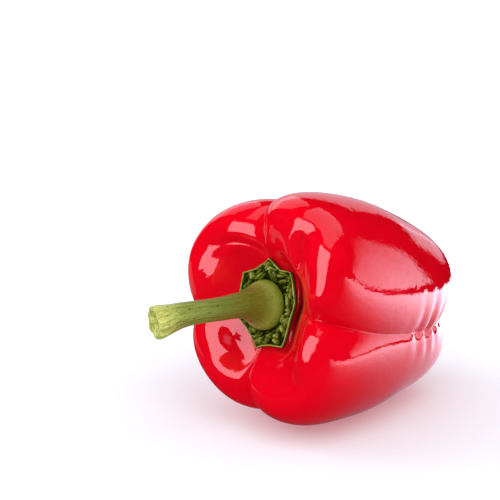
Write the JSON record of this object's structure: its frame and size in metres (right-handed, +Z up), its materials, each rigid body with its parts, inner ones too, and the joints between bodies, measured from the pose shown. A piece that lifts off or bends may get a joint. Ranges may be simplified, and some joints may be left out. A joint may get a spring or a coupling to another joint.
{
  "type": "bell pepper",
  "caption": "Ripe red bell pepper lying on its side: a blocky, lobed fruit with a warty green calyx and a ribbed, cut stem.",
  "frame": {"origin": "on the floor, under the middle of the whole pepper's bounding box", "axes": "+Z up, -Y towards the stem and +Y towards the blossom end; +X is on the right of someone facing the stem end"},
  "size_m": [0.0842, 0.141, 0.0872],
  "materials": {
    "ripe_skin": "smooth, waxy and glossy",
    "calyx_green": "leafy, wrinkled, dull",
    "stem_green": "ribbed and slightly waxy"
  },
  "bodies": {
    "root": {"fruit": "ripe_skin", "calyx": "calyx_green", "stem": "stem_green"}
  },
  "joints": []
}
